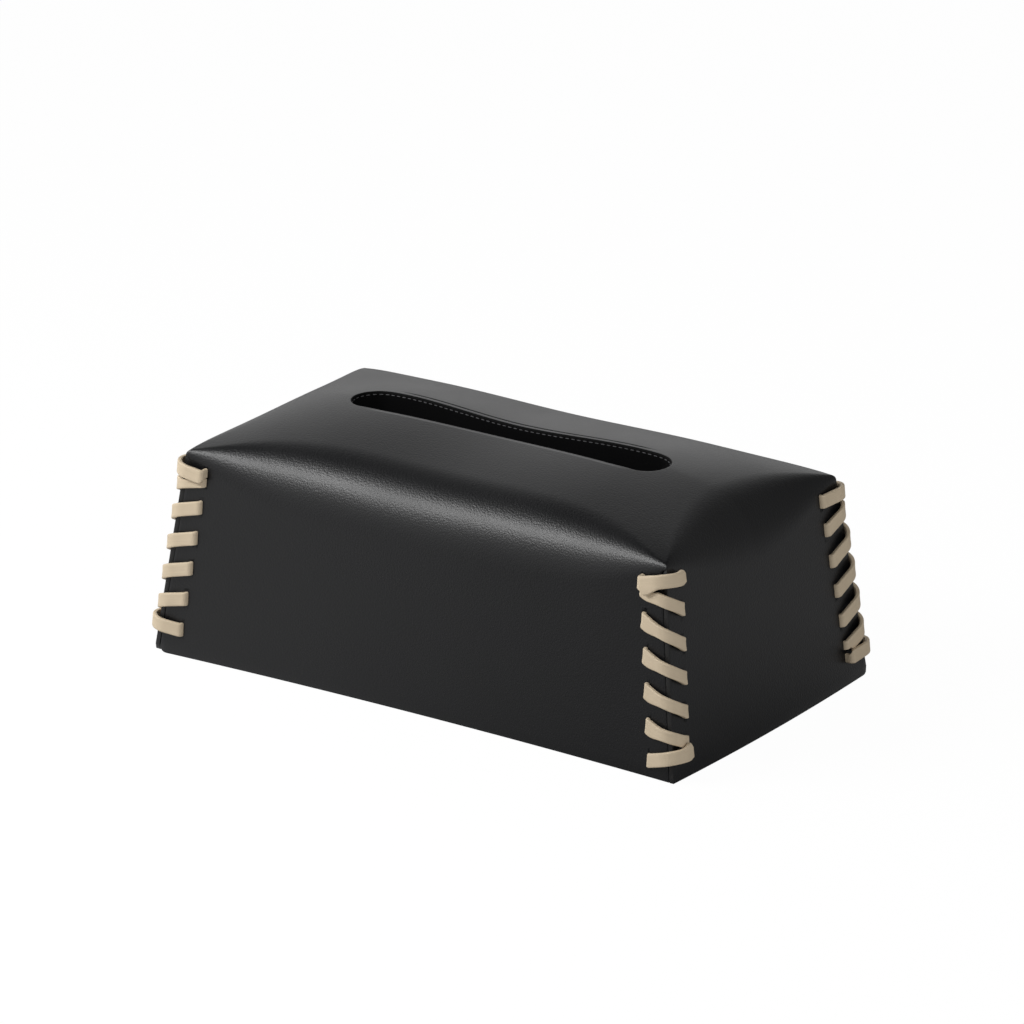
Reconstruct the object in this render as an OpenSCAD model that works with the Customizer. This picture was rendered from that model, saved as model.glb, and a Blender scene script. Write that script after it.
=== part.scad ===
// Tissue box cover. One cross of leather folds down over stiffening boards
// into four leaning walls, and a flat thong laces up each of its four corners.
// X runs along the length, Y across the depth and Z up. The origin is the
// middle of the footprint, on the surface that the cover stands on.

/* [Overall size] */
// Length over the feet of the short walls
base_length = 260; // [220:1:320]
// Depth over the feet of the long walls
base_depth = 147; // [125:1:190]
// Length between the corner tips of the top
tip_length = 238.4; // [200:0.2:300]
// Depth between the corner tips of the top
tip_depth = 126.8; // [105:0.2:170]
// Height of the four corner tips
tip_height = 88; // [80:1:120]
// Rise of the crown above the corner tips
crown_rise = 16.6; // [9:0.2:24]
// Rise of the top edges above the corner tips at the middle of each wall
edge_rise = 4.6; // [1:0.2:8]
// Sag of the top between the two ends of the slot
slot_sag = 2; // [0:0.1:3]

/* [Soft form] */
// Reach of the soft fold into the top at the middle of a wall
fold_reach = 22; // [14:0.5:23]
// Distance from a corner tip over which the fold opens to its full reach
fold_opening = 44; // [30:1:60]
// Reach of the fold at a corner tip, where the leather is pinched
pinch_reach = 1.5; // [1:0.1:3]
// How far the foot of a long wall is drawn inward at its middle
long_wall_bow = 3.4; // [0:0.2:5]
// How far the foot of a short wall stands outward at its middle
short_wall_bow = 2; // [0:0.2:5]

/* [Layers] */
// Thickness of the outer leather
leather = 2; // [1.6:0.1:2.6]
// Thickness of the stiffening boards
board = 1; // [0.6:0.1:2]
// Thickness of the lining
lining_skin = 0.6; // [0.4:0.1:1.2]
// Glue gap between two layers
glue_gap = 0.1; // [0.08:0.02:0.2]
// Gap at a corner between the edge of a long wall and the back of a short one
seam_gap = 0.15; // [0.1:0.05:0.5]
// Height of the lining and the boards above the foot of the leather
inner_foot = 1; // [0.5:0.1:3]
// Leather and board left between a lace hole and the top edge of a board
hole_land = 1.2; // [0.8:0.1:2]

/* [Slot] */
// Length of the slot
slot_length = 155; // [120:1:175]
// Width of the slot near its round ends
slot_width = 20.5; // [17:0.5:28]
// Width of the slot at its waist
slot_waist = 13.4; // [11:0.2:17]
// Radius of the leather where it rolls over into the slot
lip_radius = 1.4; // [1:0.1:1.5]
// Thickness of the facing
facing_skin = 1; // [0.6:0.1:1.4]
// Depth of the facing below the lip
facing_depth = 13; // [8:0.5:20]
// Thickness of the seam thread
thread = 0.5; // [0.3:0.05:0.8]
// Depth of the seam thread below the crest of the lip
thread_depth = 1.8; // [1.8:0.1:4]

/* [Lacing] */
// Width of the thong
thong_width = 5.8; // [4:0.1:6]
// Thickness of the thong
thong_skin = 1.8; // [1.2:0.1:2]
// Distance of the holes in the long walls from the corner
long_wall_setback = 11.6; // [11:0.2:16]
// Distance of the holes in the short walls from the corner
short_wall_setback = 14.2; // [11:0.2:16]
// Height of the top hole in a long wall
long_wall_top_hole = 79; // [76:0.5:80]
// Height of the top hole in a short wall
short_wall_top_hole = 81; // [78:0.5:81]
// Spacing of the holes up a long wall
long_wall_pitch = 13.4; // [12.8:0.1:14.4]
// Spacing of the holes up a short wall
short_wall_pitch = 13.2; // [12.8:0.1:14.2]
// Gap round the thong in its holes
hole_gap = 0.25; // [0.2:0.05:0.4]
// Gap between the thong and the leather that it lies on
thong_lift = 0.1; // [0.05:0.05:0.4]
// Gap between the thong and the lining where it turns inside the cover
inner_lift = 0.6; // [0.5:0.1:1.5]
// Gap between the two passes of the thong where they share a hole
pass_gap = 0.8; // [0.7:0.05:1]
// How far the thong stands off the corner where it turns round it
corner_stand = 2.3; // [2.3:0.1:3]
// Radius of the thong's turn round the corner
corner_turn = 4; // [3:0.2:4]
// How far it stands off the corner where it crosses over its neighbour
over_stand = 4.5; // [4.3:0.1:5]
// Radius of the same turn there
over_turn = 4; // [3.6:0.2:4.4]
// How far above the straight line between its holes the thong passes the corner
corner_lift = 1.5; // [0:0.1:3]
// The same where it crosses over its neighbour
over_lift = 3.6; // [3:0.1:4]
// Height between the two passes of the thong in the shared hole near the foot
foot_drop = 2; // [1.4:0.1:2]
// Length of each glued tail of the thong inside the cover
tail = 14; // [8:1:20]

/* [Front right corner, laced a little closer and wider apart] */
// Distance of its holes in the right wall from the corner
near_short_setback = 9.2; // [9:0.2:14]
// Spacing of its holes up the front wall
near_long_pitch = 14.3; // [13:0.1:14.6]
// Spacing of its holes up the right wall
near_short_pitch = 13.6; // [13:0.1:14.2]

/* [Hidden] */
// Holes up each wall beside a corner
hole_count = 6;
// The surface is drawn as columns that climb from the foot of a wall, over the
// fold and across the top to the slot
long_columns = 18;
short_columns = 10;
wall_steps = 2;
fold_steps = 6;
top_steps = 4;
roll_steps = 3;
lining_fold_steps = 4;
// Exponents of the top edges, of the crown, and of the fold near a corner
edge_power = 4;
crown_length_power = 4;
crown_depth_power = 1.6;
sag_power = 2;
opening_power = 3;
corner_power = 8;
// Fullness of the fold, as a share of its chord
fold_fullness_share = 1.17;
// How much further the fold reaches down the wall than into the top
fold_drop_share = 1.1;
// Share of a layer's depth by which its fold is tighter than the outer one
fold_nesting_share = 0.87;
// Share of the pinch that is left for the innermost skin
pinch_nesting_share = 0.5;
// Bevel along the four edges of the thong, as a share of its thickness
thong_bevel_share = 0.3;

board_depth = leather + glue_gap;
lining_depth = board_depth + board + glue_gap;
wall_depth = lining_depth + lining_skin;
board_setback = board_depth + board + seam_gap;
lining_setback = wall_depth + seam_gap;
// Distance over which the slope of the crown is measured
slope_step = leather / 20;

slot_radius = slot_width / 2;
slot_run = slot_length / 2 - slot_radius;
slot_reach = slot_run + slot_radius * cos(45);
facing_back = facing_skin + glue_gap;
board_slot_offset = facing_back + glue_gap;

// Centre of the thong above the leather, on the wall and on top of a first pass
thong_rise = thong_lift + thong_skin / 2;
over_rise = thong_rise + thong_skin + pass_gap;
inner_rise = inner_lift + thong_skin / 2;
// In a shared hole the pass that lies below goes through nearer the corner, and
// the two also differ in height
pass_shift = thong_skin + pass_gap;
top_drop = pass_gap;
mouth_turn = thong_skin / 2 + hole_gap;
inner_turn = thong_skin;
mouth_steps = 2;
corner_steps = 4;
last_hole = hole_count - 1;
// Rings of the thong in one pass through a wall
pass_rings = (mouth_steps + 1) * 2;
// How far a hole's cutter runs past the wall
overrun = leather;

// Values between two others, and unit vectors
function mix(a, b, t) = a + (b - a) * t;
function unit(v) = v / norm(v);
function ramp(t) = t * t * (3 - 2 * t);

// Walls are numbered round the cover: 0 front, 1 right, 2 back, 3 left. A point
// of a wall is given as its distance along the wall, out from the middle, and up.
function is_long(wall) = wall % 2 == 0;
function place(wall, p) =
    wall == 0 ? [p[0], -p[1], p[2]]
    : wall == 1 ? [p[1], p[0], p[2]]
    : wall == 2 ? [-p[0], p[1], p[2]]
    : [-p[1], -p[0], p[2]];
function columns(wall) = is_long(wall) ? long_columns : short_columns;
function half_along(wall) = (is_long(wall) ? [base_length, tip_length] : [base_depth, tip_depth]) / 2;
function half_out(wall) = (is_long(wall) ? [base_depth, tip_depth] : [base_length, tip_length]) / 2;
function bow(wall) = is_long(wall) ? -long_wall_bow : short_wall_bow;

// The corner is a butt joint: the leather of a short wall runs to it, and that
// of a long wall stops behind its back
function flap_setback(wall) = is_long(wall) ? leather + seam_gap : 0;

// Height of the outer leather's top: flat edges that rise from the tips, and a crown
// that sags a little between the ends of the slot
function crown(x, y) =
    let (u = min(abs(x) * 2 / tip_length, 1), v = min(abs(y) * 2 / tip_depth, 1))
    let (gx = 1 - pow(u, edge_power), gy = 1 - pow(v, edge_power))
    tip_height + edge_rise * (gx + gy - gx * gy)
        + (crown_rise - edge_rise) * (1 - pow(u, crown_length_power)) * (1 - pow(v, crown_depth_power))
        - slot_sag * (1 - ramp(min(abs(x) / slot_run, 1))) * (1 - pow(v, sag_power));
function crown_at(wall, along, out) = is_long(wall) ? crown(along, out) : crown(out, along);

// Reach of the fold: wide at the middle of a wall, closing to a pinch at the tips
function fold_size(wall, s, depth) =
    let (q = (1 - abs(s)) * half_along(wall)[1] / fold_opening)
    let (opened = q / pow(1 + pow(q, opening_power), 1 / opening_power))
    max(mix(pinch_reach, fold_reach, opened) - depth * fold_nesting_share,
        pinch_reach * mix(1, pinch_nesting_share, depth / wall_depth));

// Half width of the slot, drawn in at the waist, and its slope
function slot_half(x) = mix(slot_waist / 2, slot_radius, ramp(min(abs(x) / slot_run, 1)));
function slot_slope(x) =
    let (t = min(abs(x) / slot_run, 1)) sign(x) * (slot_radius - slot_waist / 2) * 6 * t * (1 - t) / slot_run;

// Edge of the slot as a wall's columns meet it, moved out by an offset
function slot_edge(wall, s, offset) =
    is_long(wall)
    ? let (x = slot_reach * sin(90 * s))
        abs(x) > slot_run
        ? let (a = asin((abs(x) - slot_run) / slot_radius))
            [sign(x) * (slot_run + (slot_radius + offset) * sin(a)), (slot_radius + offset) * cos(a)]
        : [x, slot_half(x)] + unit([-slot_slope(x), 1]) * offset
    : [(slot_radius + offset) * sin(45 * s), slot_run + (slot_radius + offset) * cos(45 * s)];
function slot_point(wall, s, offset, drop) =
    let (e = slot_edge(wall, s, offset)) [e[0], e[1], crown_at(wall, e[0], e[1]) - drop];

// Columns stand closer together towards the corners
function spread(i, n) = let (t = 2 * i / n - 1) (t + sin(90 * t)) / 2;

// Foot of a wall, and the virtual edge where its plane meets the top
function foot(wall, s, depth, setback) =
    let (a = s * (half_along(wall)[0] - setback), u = a / half_along(wall)[0])
    [a, half_out(wall)[0] - depth + bow(wall) * (1 - u * u), 0];
function edge(wall, s, depth, setback) =
    let (a = s * (half_along(wall)[1] - setback))
    [a, half_out(wall)[1] - depth, crown_at(wall, a, half_out(wall)[1]) - depth];

// Where the fold starts on the wall and ends on the top
function fold_start(wall, s, depth, setback) =
    let (f = foot(wall, s, depth, setback), e = edge(wall, s, depth, setback))
    e - unit(e - f) * fold_size(wall, s, depth) * fold_drop_share;
function fold_inward(s) = [-s * pow(abs(s), corner_power), -1];
function fold_end(wall, s, depth) =
    let (p = [s * (half_along(wall)[1] - depth), half_out(wall)[1] - depth]
        + fold_inward(s) * fold_size(wall, s, depth))
    [p[0], p[1], crown_at(wall, p[0], p[1]) - depth];

// The fold is one cubic curve, tangent to the wall and to the crown
function fold_point(wall, s, depth, setback, t) =
    let (c = abs(s) == 1 ? depth : setback)
    let (a = fold_start(wall, s, depth, c), b = fold_end(wall, s, depth))
    let (up = unit(edge(wall, s, depth, c) - foot(wall, s, depth, c)))
    let (step = unit(fold_inward(s)) * slope_step)
    let (rise = crown_at(wall, b[0] + step[0], b[1] + step[1]) - depth - b[2])
    let (over = unit([step[0], step[1], rise]), pull = norm(b - a) * fold_fullness_share)
    a * (2 * t - 3) * t * t + a + up * pull * t * (1 - t) * (1 - t)
        + b * (3 - 2 * t) * t * t - over * pull * t * t * (1 - t);

function wall_at(wall, s, depth, setback, z) =
    let (f = foot(wall, s, depth, setback), e = edge(wall, s, depth, setback)) mix(f, e, z / e[2]);
function wall_rows(wall, s, depth, setback, low) =
    [wall_at(wall, s, depth, setback, low), wall_at(wall, s, depth, setback, board_top(wall)),
        fold_start(wall, s, depth, setback)];
function fold_rows(wall, s, depth, setback, steps) =
    [for (j = [1:steps]) fold_point(wall, s, depth, setback, j / steps)];
function top_rows(wall, s, depth, offset, steps) =
    let (a = fold_end(wall, s, depth), b = slot_edge(wall, s, offset))
    [for (j = [1:steps]) let (x = mix(a[0], b[0], j / steps), y = mix(a[1], b[1], j / steps))
        [x, y, crown_at(wall, x, y) - depth]];

// A grid is a list of walls, each a list of columns, each a list of points
function grid_point(grid, wall, i, r, joined_from) =
    i == len(grid[wall]) - 1 && r >= joined_from ? grid_index(grid, (wall + 1) % 4, 0, r)
    : grid_index(grid, wall, i, r);
function grid_index(grid, wall, i, r) =
    (wall == 0 ? i : i + columns_before(grid, wall)) * len(grid[0][0]) + r;
function columns_before(grid, wall) = wall == 0 ? 0 : len(grid[wall - 1]) + columns_before(grid, wall - 1);

// Solid between two grids that go right round the cover. Neighbouring walls
// share their corner columns from row joined_from up, and are cut apart below.
module wrapped_solid(outer, inner, joined_from) {
    rows = len(outer[0][0]);
    points = [for (g = [outer, inner]) for (w = [0:3]) for (c = g[w]) for (p = c) place(w, p)];
    half = len(points) / 2;
    function at(w, i, r) = grid_point(outer, w, i, r, joined_from);
    skins = [for (w = [0:3]) for (i = [0:len(outer[w]) - 2]) for (r = [0:rows - 2])
        let (a = at(w, i, r), b = at(w, i + 1, r), c = at(w, i + 1, r + 1), d = at(w, i, r + 1))
        for (f = [[a, d, c], [a, c, b], [half + a, half + c, half + d], [half + a, half + b, half + c]]) f];
    rims = [for (w = [0:3]) for (i = [0:len(outer[w]) - 2])
        let (a = at(w, i, 0), b = at(w, i + 1, 0), c = at(w, i + 1, rows - 1), d = at(w, i, rows - 1))
        for (f = [[a, b, half + b], [a, half + b, half + a], [d, half + c, c], [d, half + d, half + c]]) f];
    ends = joined_from < 1 ? [] : [for (w = [0:3]) for (r = [0:joined_from - 1])
        let (n = len(outer[w]) - 1)
        let (a = at(w, 0, r), b = at(w, 0, r + 1), c = at(w, n, r), d = at(w, n, r + 1))
        for (f = [[a, half + a, half + b], [a, half + b, b], [c, d, half + d], [c, half + d, half + c]]) f];
    polyhedron(points, concat(skins, rims, ends), convexity = 8);
}

// Solid between two grids of one wall
module slab(wall, outer, inner) {
    n = len(outer) - 1;
    rows = len(outer[0]);
    points = [for (g = [outer, inner]) for (c = g) for (p = c) place(wall, p)];
    half = len(points) / 2;
    function loop(i, r) = i * rows + r;
    skins = [for (i = [0:n - 1]) for (r = [0:rows - 2])
        let (a = loop(i, r), b = loop(i + 1, r), c = loop(i + 1, r + 1), d = loop(i, r + 1))
        for (f = [[a, d, c], [a, c, b], [half + a, half + c, half + d], [half + a, half + b, half + c]]) f];
    rims = [for (i = [0:n - 1])
        let (a = loop(i, 0), b = loop(i + 1, 0), c = loop(i + 1, rows - 1), d = loop(i, rows - 1))
        for (f = [[a, b, half + b], [a, half + b, half + a], [d, half + c, c], [d, half + d, half + c]]) f];
    ends = [for (r = [0:rows - 2])
        let (a = loop(0, r), b = loop(0, r + 1), c = loop(n, r), d = loop(n, r + 1))
        for (f = [[a, half + a, half + b], [a, half + b, b], [c, d, half + d], [c, half + d, half + c]]) f];
    polyhedron(points, concat(skins, rims, ends), convexity = 4);
}

// Places of the holes beside a corner, counted down from the top. The corner is
// the near one, at the front right, or one of the others.
function short_setback(near) = near ? near_short_setback : short_wall_setback;
function long_hole(near, i) = long_wall_top_hole - i * (near ? near_long_pitch : long_wall_pitch);
function short_hole(near, i) = short_wall_top_hole - i * (near ? near_short_pitch : short_wall_pitch);

// Top edge of a wall board: below the fold of every layer and below the second hole
function fold_foot(wall) =
    min([for (depth = [0, wall_depth]) fold_start(wall, 0, depth, flap_setback(wall))[2]]) - glue_gap;
function board_top(wall) =
    let (holes = [for (near = [false, true]) is_long(wall) ? long_hole(near, 1) : short_hole(near, 1)])
    min(fold_foot(wall), min(holes) - thong_width / 2 - hole_gap - hole_land);

// Outer leather: the roll of its lip is on the outer grid, and a step that
// makes room for the facing is on the inner one
function shell_grid(depth) = [for (w = [0:3]) [for (i = [0:columns(w)])
    let (s = spread(i, columns(w)))
    concat(
        wall_rows(w, s, depth, flap_setback(w), 0),
        fold_rows(w, s, depth, flap_setback(w), fold_steps),
        top_rows(w, s, depth, depth == 0 ? lip_radius : facing_back + lip_radius, top_steps),
        [for (j = [1:roll_steps]) let (a = 90 * j / roll_steps)
            depth == 0
            ? slot_point(w, s, lip_radius * (1 - sin(a)), lip_radius * (1 - cos(a)))
            : j < roll_steps
                ? slot_point(w, s, facing_back + lip_radius * (1 - j / (roll_steps - 1)), depth)
                : slot_point(w, s, facing_back, lip_radius)])]];

// The outer leather beside a corner, at a distance from the corner and a height
function wall_surface(wall, from_corner, z, rise) =
    let (a = mix(half_along(wall)[0], half_along(wall)[1], z / tip_height) - from_corner)
    [a, wall_at(wall, a / (a + from_corner), 0, 0, z)[1] + rise, z];

// One hole, upright, cut through every layer of a wall beside its far corner. A
// shared hole is wider towards the corner, and taller by the drop between its passes.
module lace_hole(wall, from_corner, z, shift, drop) {
    reach = thong_skin / 2 + hole_gap;
    tall = thong_width + drop + hole_gap * 2;
    inner = place(wall, wall_surface(wall, from_corner + reach, z, -wall_depth - overrun));
    translate(inner - [0, 0, tall / 2])
        rotate([0, 0, 90 * (wall - 1)])
            cube([wall_depth + overrun * 2, reach * 2 + shift, tall]);
}

// All the holes of one wall: columns of holes beside both of its corners. The
// near corner is at the unflipped end of the front wall and the flipped end of
// the right wall.
module wall_holes(wall) {
    for (flip = [0, 1])
        let (near = wall == flip)
            mirror(is_long(wall) ? [flip, 0, 0] : [0, flip, 0])
                for (i = [0:last_hole])
                    if (is_long(wall))
                        lace_hole(wall, long_wall_setback, long_hole(near, i),
                            i == 0 ? pass_shift : 0, i == 0 ? top_drop : 0);
                    else
                        lace_hole(wall, short_setback(near), short_hole(near, i),
                            i == last_hole ? pass_shift : 0, i == last_hole ? foot_drop : 0);
}

module outer_shell() {
    color("#26272a")
        difference() {
            wrapped_solid(shell_grid(0), shell_grid(leather), wall_steps + 1);
            for (w = [0:3]) wall_holes(w);
        }
}

// Lining: the same cross, inside the boards, that stops at the back of the facing
function lining_grid(depth) = [for (w = [0:3]) [for (i = [0:columns(w)])
    let (s = spread(i, columns(w)))
    concat(
        wall_rows(w, s, depth, lining_setback, inner_foot),
        fold_rows(w, s, depth, lining_setback, lining_fold_steps),
        top_rows(w, s, depth, board_slot_offset, top_steps))]];

module lining() {
    color("#1c1c1e")
        difference() {
            wrapped_solid(lining_grid(lining_depth), lining_grid(wall_depth), wall_steps + 1);
            for (w = [0:3]) wall_holes(w);
        }
}

// Top board: the top inside its folds, round the slot
function top_board_grid(depth) = [for (w = [0:3]) [for (i = [0:columns(w)])
    let (s = spread(i, columns(w)))
    concat([fold_end(w, s, depth)], top_rows(w, s, depth, board_slot_offset, top_steps))]];

module top_board() {
    color("#8a7a62")
        wrapped_solid(top_board_grid(board_depth), top_board_grid(board_depth + board), 0);
}

// Wall board: a trapezium that ends below the fold, with the lace holes through it
function wall_board_grid(wall, depth) = [for (i = [0:columns(wall)])
    let (s = spread(i, columns(wall)))
    [wall_at(wall, s, depth, board_setback, inner_foot),
        wall_at(wall, s, depth, board_setback, board_top(wall))]];

module wall_board(wall) {
    color("#8a7a62")
        difference() {
            slab(wall, wall_board_grid(wall, board_depth), wall_board_grid(wall, board_depth + board));
            wall_holes(wall);
        }
}

module front_board() { wall_board(0); }
module right_board() { wall_board(1); }
module back_board() { wall_board(2); }
module left_board() { wall_board(3); }

// Band that follows the slot between two offsets and two depths below the crown
module slot_band(inner_offset, outer_offset, high, low) {
    function band(offset) = [for (w = [0:3]) [for (i = [0:columns(w)])
        let (s = spread(i, columns(w)))
        [slot_point(w, s, offset, low), slot_point(w, s, offset, high)]]];
    wrapped_solid(band(outer_offset), band(inner_offset), 0);
}

// Facing: the collar under the lip that lines the slot
module slot_facing() {
    color("#202124")
        slot_band(0, facing_skin, lip_radius + glue_gap, facing_depth);
}

// Seam thread on the slot side of the facing
module slot_stitching() {
    color("#6f7074")
        slot_band(-thread - glue_gap, -glue_gap, thread_depth - thread / 2, thread_depth + thread / 2);
}

// Route of the thong at the front right corner, where every corner's thong is
// drawn. A stop of the route is a point, the direction across the thong there, a
// turn radius and a count of steps.
function up_wall(wall) =
    unit(place(wall, [0, half_out(wall)[1] - half_out(wall)[0], tip_height]));
function long_stop(from_corner, z, rise, turn) =
    [place(0, wall_surface(0, from_corner, z, rise)), up_wall(0), turn, mouth_steps];
function short_stop(from_corner, z, rise, turn) =
    let (p = wall_surface(1, from_corner, z, rise))
    [[p[1], -p[0], p[2]], up_wall(1), turn, mouth_steps];
function corner_stop(z, stand, turn) =
    let (t = z / tip_height)
    [[mix(base_length, tip_length, t) / 2 + stand, -mix(base_depth, tip_depth, t) / 2 - stand, z],
        unit(up_wall(0) + up_wall(1)), turn, corner_steps];

// One pass through a wall, from its inner face to its outer one. An over pass
// stands off the thong below it, and an under pass is nearer the corner.
function long_pass(z, over, under) =
    let (p = long_wall_setback - (under ? pass_shift : 0))
    [long_stop(p, z, -wall_depth - inner_rise, over ? mouth_turn : inner_turn),
        long_stop(p, z, over ? over_rise : thong_rise, mouth_turn)];
function short_pass(near, z, over, under) =
    let (p = short_setback(near) - (under ? pass_shift : 0))
    [short_stop(p, z, -wall_depth - inner_rise, over ? mouth_turn : inner_turn),
        short_stop(p, z, over ? over_rise : thong_rise, mouth_turn)];

// One crossing outside the corner, from a hole in the long wall to one in the
// short wall. Its lie over and under the next crossing is given for each hole.
function crossing(near, z_long, z_short, long_lie, short_lie) =
    let (over = long_lie == "over" || short_lie == "over")
    let (share = long_wall_setback / (long_wall_setback + short_setback(near)))
    let (z = mix(z_long, z_short, share) + (over ? over_lift : corner_lift))
    let (long_end = long_pass(z_long, long_lie == "over", long_lie == "under"))
    let (short_end = short_pass(near, z_short, short_lie == "over", short_lie == "under"))
    [long_end[0], long_end[1],
        over ? corner_stop(z, over_stand, over_turn) : corner_stop(z, corner_stand, corner_turn),
        short_end[1], short_end[0]];

// The first and the last crossing lie over their neighbours and share their holes
function lace_stops(near) =
    let (top = long_hole(near, 0), low = short_hole(near, last_hole))
    concat(
        [long_stop(long_wall_setback + tail, top - thong_width, -wall_depth - inner_rise, 0)],
        crossing(near, top + top_drop / 2, short_hole(near, 0), "over", "alone"),
        crossing(near, top - top_drop / 2, short_hole(near, 1), "under", "alone"),
        [for (i = [1:last_hole - 2])
            each crossing(near, long_hole(near, i), short_hole(near, i + 1), "alone", "alone")],
        crossing(near, long_hole(near, last_hole - 1), low + foot_drop / 2, "alone", "under"),
        crossing(near, long_hole(near, last_hole), low - foot_drop / 2, "alone", "over"),
        [short_stop(short_setback(near) + tail, low - foot_drop / 2, -wall_depth - inner_rise, 0)]);

// Rings of the thong: an arc at each turn of the route
function turn_rings(a, b, c) =
    let (u = unit(a[0] - b[0]), v = unit(c[0] - b[0]), half_angle = acos(u * v) / 2)
    let (run = b[2] / tan(half_angle), middle = b[0] + unit(u + v) * b[2] / sin(half_angle))
    let (p = b[0] + u * run - middle, q = b[0] + v * run - middle, sweep = 180 - 2 * half_angle)
    [for (j = [0:b[3]]) let (t = j / b[3])
        [middle + (p * sin((1 - t) * sweep) + q * sin(t * sweep)) / sin(sweep),
            unit(q * cos(t * sweep) - p * cos((1 - t) * sweep)), b[1]]];
function route_rings(stops) =
    let (n = len(stops) - 1)
    concat(
        [[stops[0][0], unit(stops[1][0] - stops[0][0]), stops[0][1]]],
        [for (i = [1:n - 1]) each turn_rings(stops[i - 1], stops[i], stops[i + 1])],
        [[stops[n][0], unit(stops[n][0] - stops[n - 1][0]), stops[n][1]]]);

// Section of the thong: a bevelled strip whose rings all stand upright
function thong_section() =
    let (w = thong_width / 2, h = thong_skin / 2, b = thong_skin * thong_bevel_share)
    [[w, h - b], [w - b, h], [b - w, h], [-w, h - b], [-w, b - h], [b - w, -h], [w - b, -h], [w, b - h]];
function thong_ring(ring) =
    let (along = ring[1], across = ring[2], side = across - along * (across * along))
    let (wide = across / norm(side), thick = unit(cross(along, across)))
    [for (p = thong_section()) ring[0] + wide * p[0] + thick * p[1]];

// Distance from a point to the thong between two rings of the route, and the
// least such distance over all that lies more than one pass through a wall apart
function step_distance(p, a, b) =
    let (run = b[0] - a[0], along = unit(run), wide = unit(a[2] - along * (along * a[2])))
    let (d = p - (a[0] + b[0]) / 2, thick = cross(along, wide))
    norm([max(abs(d * along) - norm(run) / 2, 0), max(abs(d * wide) - thong_width / 2, 0),
        max(abs(d * thick) - thong_skin / 2, 0)]);
function least_gap(route, rings) =
    min([for (i = [0:len(route) - 1]) for (j = [0:len(route) - 2])
        if (abs(i - j) > pass_rings) for (p = rings[i]) step_distance(p, route[j], route[j + 1])]);

module lace(near = false) {
    route = route_rings(lace_stops(near));
    rings = [for (r = route) thong_ring(r)];
    echo(str("Least gap of the thong to itself: ", least_gap(route, rings), " mm"));
    n = len(rings);
    sides = len(rings[0]);
    points = [for (r = rings) each r];
    tube = [for (i = [0:n - 2]) for (j = [0:sides - 1])
        let (a = i * sides + j, b = i * sides + (j + 1) % sides)
        for (f = [[a, b + sides, b], [a, a + sides, b + sides]]) f];
    caps = [for (j = [1:sides - 2]) for (f = [[0, j, j + 1],
        [(n - 1) * sides, (n - 1) * sides + j + 1, (n - 1) * sides + j]]) f];
    color("#c8b79b")
        polyhedron(points, concat(tube, caps), convexity = 12);
}

module lace_front_right() { lace(near = true); }
module lace_front_left() { mirror([1, 0, 0]) lace(); }
module lace_back_right() { mirror([0, 1, 0]) lace(); }
module lace_back_left() { mirror([1, 0, 0]) mirror([0, 1, 0]) lace(); }

outer_shell();
lining();
top_board();
front_board();
back_board();
left_board();
right_board();
slot_facing();
slot_stitching();
lace_front_right();
lace_front_left();
lace_back_right();
lace_back_left();
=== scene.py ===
# %% [markdown]
# # A laced tissue box cover
# This cover is a cross of black leather, folded down over thin boards into four
# leaning walls. A flat thong laces up each corner, and the tissues come out
# through a long slot in the soft top. The solid model gives the structure and
# the sizes. Here each piece gets its fine shape and its finish.

# %% Load the solid model
import math
import bpy
import numpy as np
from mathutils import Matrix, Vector


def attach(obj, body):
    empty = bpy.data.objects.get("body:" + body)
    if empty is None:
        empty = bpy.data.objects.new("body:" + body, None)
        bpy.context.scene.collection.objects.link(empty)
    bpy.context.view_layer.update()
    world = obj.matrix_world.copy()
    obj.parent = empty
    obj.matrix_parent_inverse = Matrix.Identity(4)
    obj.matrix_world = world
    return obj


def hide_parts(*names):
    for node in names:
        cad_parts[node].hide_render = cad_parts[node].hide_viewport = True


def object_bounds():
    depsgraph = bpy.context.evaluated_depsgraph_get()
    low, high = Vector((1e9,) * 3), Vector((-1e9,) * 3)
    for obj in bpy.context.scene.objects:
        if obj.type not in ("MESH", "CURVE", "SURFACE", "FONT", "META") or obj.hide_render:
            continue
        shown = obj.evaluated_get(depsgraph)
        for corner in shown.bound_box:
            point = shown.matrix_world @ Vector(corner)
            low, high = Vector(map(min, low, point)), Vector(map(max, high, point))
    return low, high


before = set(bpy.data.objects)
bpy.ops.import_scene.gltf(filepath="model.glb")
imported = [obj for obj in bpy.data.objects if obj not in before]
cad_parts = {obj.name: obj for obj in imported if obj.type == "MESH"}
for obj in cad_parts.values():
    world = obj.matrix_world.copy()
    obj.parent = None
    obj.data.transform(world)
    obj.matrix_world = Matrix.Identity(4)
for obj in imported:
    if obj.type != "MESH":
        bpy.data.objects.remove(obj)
cad_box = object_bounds()
cad_size = [round(v * 1000, 1) for v in cad_box[1] - cad_box[0]]
print("Solid model:", len(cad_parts), "nodes,", cad_size, "mm")

# %% [markdown]
# ## Sizes
# The leather's surface follows from a few lengths: the rectangle of its feet,
# the smaller rectangle of its four corner tips, and the rise of its crown. They
# are the sizes of the solid model, so every fine piece lands on its solid.

# %% Sizes of the cover
MM = 0.001
base_length = 260 * MM
base_depth = 147 * MM
tip_length = 238.4 * MM
tip_depth = 126.8 * MM
tip_height = 88 * MM
crown_rise = 16.6 * MM
edge_rise = 4.6 * MM
slot_sag = 2 * MM
edge_power = 4
crown_length_power = 4
crown_depth_power = 1.6
sag_power = 2
long_wall_bow = -3.4 * MM
short_wall_bow = 2 * MM

fold_reach = 22 * MM
fold_opening = 44 * MM
pinch_reach = 1.5 * MM
fold_fullness = 1.17
fold_drop = 1.1
fold_nesting = 0.87
pinch_nesting = 0.5
corner_power = 8

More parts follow.
